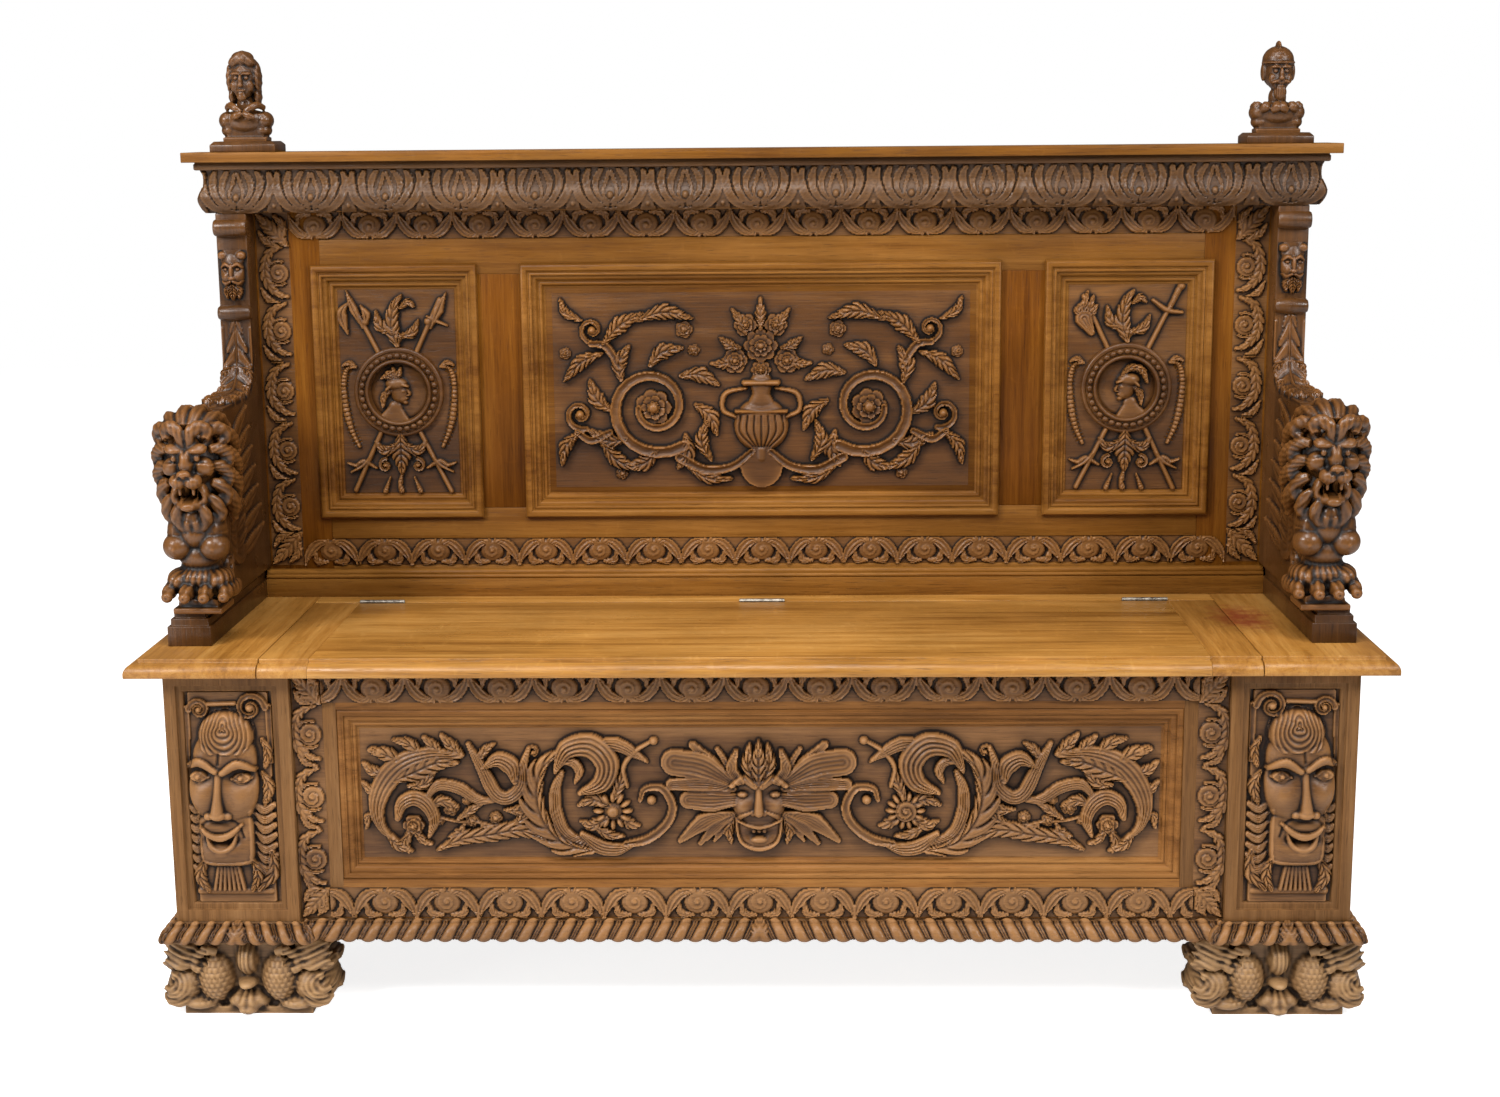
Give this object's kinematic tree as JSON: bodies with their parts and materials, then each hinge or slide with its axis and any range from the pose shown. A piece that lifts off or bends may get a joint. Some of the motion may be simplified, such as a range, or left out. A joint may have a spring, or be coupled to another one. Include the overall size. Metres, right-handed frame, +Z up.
{
  "type": "settle bench",
  "caption": "Carved oak box settle with a hinged lid over a chest, a panelled back, lion arms, dolphin feet and busts on a cornice.",
  "frame": {"origin": "on the floor, midway under the whole settle's width and depth", "axes": "+X to the right hand of someone facing the settle's front, +Y from the front to the back, +Z up"},
  "size_m": [1.666, 0.444, 1.293],
  "materials": {
    "carved_oak": "waxed carved oak, dark in the hollows",
    "field_oak": "waxed oak of the back panels",
    "seat_oak": "polished oak of the seat boards, worn and stained",
    "inside_oak": "plain sawn oak, unpolished",
    "hinge_metal": "dark aged iron"
  },
  "bodies": {
    "carcass": {"arm_left": "carved_oak", "arm_plinth_left": "carved_oak", "arm_plinth_right": "carved_oak", "arm_right": "carved_oak", "back_bottom_rail": "carved_oak", "back_muntins": "field_oak", "back_panel_centre": "field_oak", "back_panel_left": "field_oak", "back_panel_right": "field_oak", "back_stile_left": "carved_oak", "back_stile_right": "carved_oak", "back_top_rail": "carved_oak", "base_frame": "inside_oak", "base_moulding_front": "carved_oak", "base_moulding_left": "carved_oak", "base_moulding_right": "carved_oak", "bust_left": "carved_oak", "bust_plinth_left": "carved_oak", "bust_plinth_right": "carved_oak", "bust_right": "carved_oak", "centre_carving": "field_oak", "chest_back": "inside_oak", "chest_bottom_rail": "carved_oak", "chest_floor": "inside_oak", "chest_front_carving": "carved_oak", "chest_front_panel": "carved_oak", "chest_panel_moulding": "carved_oak", "chest_side_frame_left": "carved_oak", "chest_side_frame_right": "carved_oak", "chest_side_panel_left": "carved_oak", "chest_side_panel_right": "carved_oak", "chest_stile_left": "carved_oak", "chest_stile_right": "carved_oak", "chest_top_rail": "carved_oak", "cornice_core": "carved_oak", "cornice_moulding": "carved_oak", "cornice_shelf": "carved_oak", "front_foot_left": "carved_oak", "front_foot_right": "carved_oak", "hinge_leaves_fixed": "hinge_metal", "hinge_pins": "hinge_metal", "panel_moulding_centre": "carved_oak", "panel_moulding_left": "carved_oak", "panel_moulding_right": "carved_oak", "pier_left": "carved_oak", "pier_mask_left": "carved_oak", "pier_mask_right": "carved_oak", "pier_right": "carved_oak", "rear_feet": "inside_oak", "roundel_left": "field_oak", "roundel_right": "field_oak", "seat_end_left": "seat_oak", "seat_end_right": "seat_oak", "seat_rear_strip": "seat_oak", "skirting": "carved_oak", "trophy_left": "field_oak", "trophy_right": "field_oak"},
    "lid": {"lid_board": "seat_oak", "lid_cleats": "seat_oak", "hinge_leaves_lid": "hinge_metal"}
  },
  "joints": [
    {"name": "lid_hinge", "type": "hinge", "parent": "carcass", "child": "lid", "pos_m": [0, 0.134, 0.501], "axis": [-1, 0, 0], "range_deg": [0, 94]}
  ]
}
